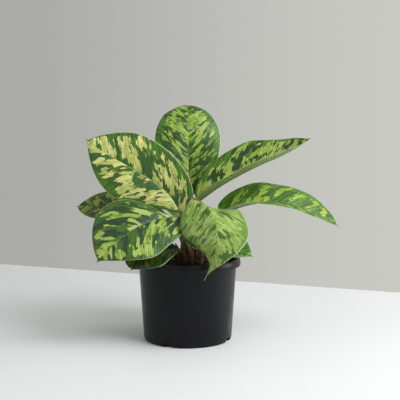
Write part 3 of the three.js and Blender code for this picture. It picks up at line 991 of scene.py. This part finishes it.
class HOMALOMENA_OT_soil(bpy.types.Operator):
    """Build the uneven bed of potting mix and the crumbs that lie on it"""

    bl_idname = "homalomena.soil"
    bl_label = "Soil"

    def height(self, x, y):
        """Height of the bed's surface in metres."""
        radius = np.hypot(x, y)
        edge = WALL_TOP_RADIUS - 3 * MM
        level = SOIL_HIGH.z - 0.7 * MM - 4 * MM * (radius / edge) ** 2
        bumps = 0.7 * np.sin(x * 190 + 1.3) * np.sin(y * 170) + 0.5 * np.sin(x * 410 + y * 330)
        bumps += 0.3 * np.sin(x * 900 - y * 700) + 0.25 * np.sin(y * 1300 + x * 500)
        return level + bumps * MM * 0.8

    def execute(self, context):
        settings = context.scene.homalomena
        sides, rings = 150, 44
        floor = SOIL_LOW.z
        foot = BASE_RADIUS - WALL - 0.3 * MM
        edge = SOIL_HIGH.x
        profile = [(0, floor), (foot, floor)]
        profile += [(edge * (1 - i / rings), 0) for i in range(rings)] + [(0, 0)]
        mesh = turned_mesh("soil_bed", profile, sides)
        places = np.empty(len(mesh.vertices) * 3)
        mesh.vertices.foreach_get("co", places)
        places = places.reshape(-1, 3)
        top = places[:, 2] < floor / 2
        places[top, 2] = self.height(places[top, 0], places[top, 1])
        mesh.vertices.foreach_set("co", places.ravel())
        mesh.update()
        soil = soil_material(settings, "Potting mix", settings.soil)
        add_object("soil_bed", mesh, [soil], ["soil"])
        grains = soil_material(settings, "Pale grains", settings.grain)
        self.scatter(soil, grains, edge)
        return {"FINISHED"}

    def scatter(self, soil, grains, edge):
        """Crumbs of bark and peat, with a few pale grains, lying on the bed."""
        pick = random.Random(5)
        crumbs = bmesh.new()
        for number in range(CRUMBS):
            radius = (edge - 2 * MM) * math.sqrt(pick.random())
            angle = pick.uniform(0, 2 * math.pi)
            large = number % LARGE_CRUMB_EVERY == 0
            size = pick.uniform(0.7, 2.1) * MM * (1.5 if large else 1)
            x, y = radius * math.cos(angle), radius * math.sin(angle)
            z = float(self.height(np.array(x), np.array(y))) + size * 0.15
            turn = Matrix.Rotation(pick.uniform(0, 6.3), 4, "Z")
            turn @= Matrix.Rotation(pick.uniform(-0.6, 0.6), 4, "X")
            stretch = Matrix.Diagonal((size * pick.uniform(0.8, 1.9), size, size * 0.55, 1))
            made = bmesh.ops.create_icosphere(
                crumbs, subdivisions=2 if large else 1, radius=1,
                matrix=Matrix.Translation((x, y, z)) @ turn @ stretch,
            )
            pale = number % PALE_CRUMB_EVERY == 0
            for vert in made["verts"]:
                vert.co += Vector([pick.uniform(-0.18, 0.18) * size for _ in range(3)])
                for face in vert.link_faces:
                    face.material_index = 1 if pale else 0
        mesh = bpy.data.meshes.new("soil_crumbs")
        crumbs.to_mesh(mesh)
        crumbs.free()
        add_object("soil_crumbs", mesh, [soil, grains])


class HOMALOMENA_OT_crown(bpy.types.Operator):
    """Build the ringed rhizome and the dry sheaths around the foot of the stems"""

    bl_idname = "homalomena.crown"
    bl_label = "Crown"

    def execute(self, context):
        settings = context.scene.homalomena
        top = CROWN_HIGH.z
        radius = (CROWN_HIGH.x - CROWN_LOW.x) / 2
        foot = CROWN_LOW.z
        profile = [(0, foot), (radius * 0.5, foot), (radius * 0.7, foot + 8 * MM)]
        steps = 26
        for i in range(steps):
            z = SOIL_HIGH.z - 6 * MM + (top - SOIL_HIGH.z + 6 * MM) * i / (steps - 1)
            ringed = 0.35 * MM * math.cos(i * 1.6)
            profile.append((radius * (0.72 + 0.24 * i / steps) + ringed, z))
        profile += [(radius * 0.8, top), (0, top)]
        mesh = turned_mesh("crown", profile, 60)
        for vertex in mesh.vertices:
            angle = math.atan2(vertex.co.y, vertex.co.x)
            swell = 1 + 0.05 * math.sin(3 * angle + 40 * vertex.co.z) + 0.03 * math.sin(7 * angle)
            vertex.co.x = vertex.co.x * swell + CROWN_X
            vertex.co.y = vertex.co.y * swell + CROWN_Y
        brown = sheath_material(settings)
        add_object("crown", mesh, [brown], ["rhizome"])
        for seed, (place, degrees) in enumerate(SHEATHS.items()):
            self.add_sheath(place, degrees, seed, brown, settings)
        return {"FINISHED"}

    def add_sheath(self, place, degrees, seed, brown, settings):
        base = crown_point(19.6, degrees, SOIL_HIGH.z / MM + 1)
        shape = dict(SHEATH_SHAPE, base=base, heading=(degrees,))
        grid, _, blade = blade_grid(shape, seed + 200, settings, False, 40, 20)
        normal = grid_normals(grid)
        thick = np.full(grid.shape[:2], 0.12)
        mesh = shell_mesh(f"dry_sheath_{place}", grid, normal, thick, thick, {"blade": blade})
        mesh.polygons.foreach_set("material_index", [0] * len(mesh.polygons))
        add_object(f"dry_sheath_{place}", mesh, [brown], [f"sheath_{place}"])


class HOMALOMENA_OT_stems(bpy.types.Operator):
    """Build the stems, each hollowed towards the clump at its foot"""

    bl_idname = "homalomena.stems"
    bl_label = "Stems"

    def execute(self, context):
        skin = stem_material(context.scene.homalomena)
        for place, leaf in LEAVES.items():
            mesh = stem_mesh(place, leaf)
            add_object(f"stalk_{place}", mesh, [skin], [f"stem_{place}"])
        return {"FINISHED"}


class HOMALOMENA_OT_leaves(bpy.types.Operator):
    """Build the twelve mottled leaf blades"""

    bl_idname = "homalomena.leaves"
    bl_label = "Leaves"

    def execute(self, context):
        settings = context.scene.homalomena
        for finish in settings.leaves:
            place = finish.place
            mesh = blade_mesh(place, LEAVES[place], finish.seed, settings)
            skins = [upper_material(finish, settings), under_material(finish, settings)]
            add_object(f"blade_{place}", mesh, skins, [f"leaf_{place}"])
        return {"FINISHED"}


class HOMALOMENA_OT_new_leaf(bpy.types.Operator):
    """Build the young leaf, still rolled around itself"""

    bl_idname = "homalomena.new_leaf"
    bl_label = "New leaf"

    def execute(self, context):
        settings = context.scene.homalomena
        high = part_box("new_leaf")[1]
        foot = np.array(crown_point(13.5, 16, CROWN_HIGH.z / MM - 2))
        tip = np.array([24, 8, high.z / MM - 0.5])
        bend = (foot + tip) / 2 + np.array([-2, 0, 4])
        u = np.linspace(0, 1, 70)[:, None]
        path = foot * (1 - u) ** 2 + bend * 2 * u * (1 - u) + tip * u ** 2
        share = u[:, 0]
        radius = 0.35 + (2.2 + 1.6 * share ** 2) * (1 - share ** 6)
        inward = np.tile([-1.0, 0.0, 0.2], (len(path), 1))
        channel = np.zeros(len(path))
        mesh = tube_mesh("rolled_leaf", path, radius, inward, channel, twist=1.2, seam=0.14)
        finish = settings.leaves[0]
        material, tree, shader = new_material("Rolled leaf")
        grain = surface_grain(tree, 700.0, 7.0)
        colour = mixed(tree, ramped(tree, grain["Cloud"], 0.4, 0.6), settings.midrib, finish.pale)
        tree.links.new(colour, shader.inputs["Base Color"])
        shader.inputs["Roughness"].default_value = 0.4
        bumped(tree, shader, grain["Fine"], 0.3, 0.3 * MM)
        add_object("rolled_leaf", mesh, [material], ["new_leaf"])
        return {"FINISHED"}


class HOMALOMENA_OT_stage(bpy.types.Operator):
    """Set up the camera, the pale table, the soft lights and the grey surroundings"""

    bl_idname = "homalomena.stage"
    bl_label = "Stage"

    def execute(self, context):
        settings = context.scene.homalomena
        self.add_camera(context)
        self.add_table(context, settings)
        self.add_light(context, "key", (1.0, -0.7, 1.25), 1.1, settings.key_light)
        self.add_light(context, "fill", (-1.3, -0.9, 0.8), 1.2, settings.fill_light)
        self.add_light(context, "window", (1.5, 0.1, 0.42), 0.9, settings.side_light)
        self.set_world(context)
        context.scene.view_settings.view_transform = "Standard"
        return {"FINISHED"}

    def add_camera(self, context):
        lens = bpy.data.cameras.new("camera")
        lens.lens = CAMERA_LENS
        lens.clip_end = 20
        camera = bpy.data.objects.new("camera", lens)
        camera.location = CAMERA_PLACE
        camera.rotation_euler = (math.radians(90 - CAMERA_DOWN), 0, 0)
        context.scene.collection.objects.link(camera)
        context.scene.camera = camera

    def add_table(self, context, settings):
        """A slab whose back edge crosses behind the pot at a slant."""
        shape = bmesh.new()
        bmesh.ops.create_cube(shape, size=1)
        bmesh.ops.scale(shape, vec=(3.2, 2.4, 0.03), verts=shape.verts)
        bmesh.ops.translate(shape, vec=(0, -1.2, -0.015), verts=shape.verts)
        bmesh.ops.bevel(
            shape, geom=shape.edges[:], offset=0.003, segments=3, affect="EDGES", profile=0.5,
        )
        turn = Matrix.Rotation(math.radians(TABLE_TURN), 4, "Z")
        turn = Matrix.Translation((0, TABLE_BACK, 0)) @ turn
        bmesh.ops.transform(shape, matrix=turn, verts=shape.verts)
        mesh = bpy.data.meshes.new("table")
        shape.to_mesh(mesh)
        shape.free()
        mesh.materials.append(table_material(settings))
        table = bpy.data.objects.new("table", mesh)
        context.scene.collection.objects.link(table)

    def add_light(self, context, name, place, size, power):
        lamp = bpy.data.lights.new(name, "AREA")
        lamp.shape = "DISK"
        lamp.size = size
        lamp.energy = power
        light = bpy.data.objects.new(name, lamp)
        light.location = place
        aim = Vector(LIGHT_AIM) - light.location
        light.rotation_euler = aim.to_track_quat("-Z", "Y").to_euler()
        context.scene.collection.objects.link(light)

    def set_world(self, context):
        """Soft grey surroundings, a little lighter towards the right."""
        world = bpy.data.worlds.new("surroundings")
        world.use_nodes = True
        tree = world.node_tree
        tree.nodes.clear()
        direction = node(tree, "ShaderNodeTexCoord").outputs["Generated"]
        split = node(tree, "ShaderNodeSeparateXYZ", {0: direction}).outputs
        level = ramped(tree, split[0], -0.25, 0.25)
        colour = mixed(tree, level, screen(170, 170, 166), screen(202, 202, 197))
        back = node(tree, "ShaderNodeBackground", {"Color": colour, "Strength": 1.0})
        leave = tree.nodes.new("ShaderNodeOutputWorld")
        tree.links.new(back.outputs[0], leave.inputs["Surface"])
        context.scene.world = world


class HOMALOMENA_PT_panel(bpy.types.Panel):
    """Lists the plant's settings and the steps that build it"""

    bl_idname = "HOMALOMENA_PT_panel"
    bl_label = "Potted homalomena"
    bl_space_type = "VIEW_3D"
    bl_region_type = "UI"
    bl_category = "Plant"

    def draw(self, context):
        layout = self.layout
        settings = context.scene.homalomena
        for name in settings.bl_rna.properties.keys():
            if name not in {"rna_type", "name", "leaves"}:
                layout.prop(settings, name)
        for leaf in settings.leaves:
            box = layout.box()
            box.label(text=leaf.place.replace("_", " "))
            for name in ("dark", "middle", "pale", "cream", "cover", "blotch", "seed"):
                box.prop(leaf, name)
        for step in BUILD_STEPS:
            layout.operator(step.bl_idname)


BUILD_STEPS = (
    HOMALOMENA_OT_stage,
    HOMALOMENA_OT_pot,
    HOMALOMENA_OT_soil,
    HOMALOMENA_OT_crown,
    HOMALOMENA_OT_stems,
    HOMALOMENA_OT_leaves,
    HOMALOMENA_OT_new_leaf,
)
CLASSES = (HOMALOMENA_PG_leaf, HOMALOMENA_PG_settings, *BUILD_STEPS, HOMALOMENA_PT_panel)


def register():
    for each in CLASSES:
        bpy.utils.register_class(each)
    bpy.types.Scene.homalomena = PointerProperty(type=HOMALOMENA_PG_settings)


def unregister():
    del bpy.types.Scene.homalomena
    for each in reversed(CLASSES):
        bpy.utils.unregister_class(each)


def fill_leaves(settings):
    """Gives every leaf its own finish."""
    for place, look in LEAF_LOOKS.items():
        leaf = settings.leaves.add()
        leaf.place = place
        leaf.dark, leaf.middle, leaf.pale, leaf.cream = (screen(*c) for c in look[:4])
        leaf.cover = look[4]
        leaf.blotch = look[5] * MM
        leaf.seed = look[6]
        leaf.rib = RIB_SHOWS.get(place, 0.3)


def main():
    register()
    fill_leaves(bpy.context.scene.homalomena)
    for step in BUILD_STEPS:
        group, name = step.bl_idname.split(".")
        getattr(getattr(bpy.ops, group), name)()


if __name__ == "__main__":
    main()
